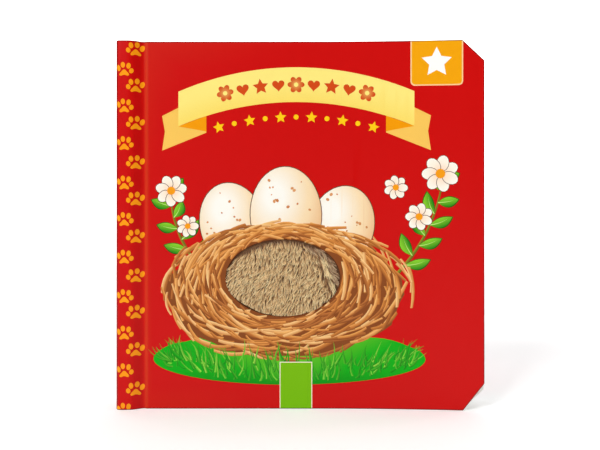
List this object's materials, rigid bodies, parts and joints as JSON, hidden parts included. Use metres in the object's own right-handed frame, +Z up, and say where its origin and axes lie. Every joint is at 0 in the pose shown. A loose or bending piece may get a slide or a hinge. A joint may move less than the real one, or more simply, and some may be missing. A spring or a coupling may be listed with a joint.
{
  "type": "baby board book",
  "caption": "Square board book with cut fore corners, raised spine flanges, leaves that fan out and an oval window of plush in its front cover; both covers swing open.",
  "frame": {"origin": "on the tail edge that it stands on, in the middle of the width and of the leaves", "axes": "+Z up, +X from the spine to the fore edge, -Y out of the front cover"},
  "size_m": [0.175, 0.0269, 0.176],
  "materials": {
    "printed_board": "red print under a satin laminate",
    "page_card": "white coated card, cut edges bare",
    "plush": "short beige pile"
  },
  "bodies": {
    "book_block": {"page_block": "page_card", "spine_case": "printed_board"},
    "front_cover": {"front_cover": "printed_board", "front_lining": "page_card", "plush_patch": "plush"},
    "back_cover": {"back_cover": "printed_board", "back_lining": "page_card"}
  },
  "joints": [
    {"name": "front_cover_hinge", "type": "hinge", "parent": "book_block", "child": "front_cover", "pos_m": [-0.0725, -0.00934, 0.088], "axis": [0, 0, -1], "range_deg": [0, 160]},
    {"name": "back_cover_hinge", "type": "hinge", "parent": "book_block", "child": "back_cover", "pos_m": [-0.0725, 0.00934, 0.088], "axis": [0, 0, 1], "range_deg": [0, 160]}
  ]
}
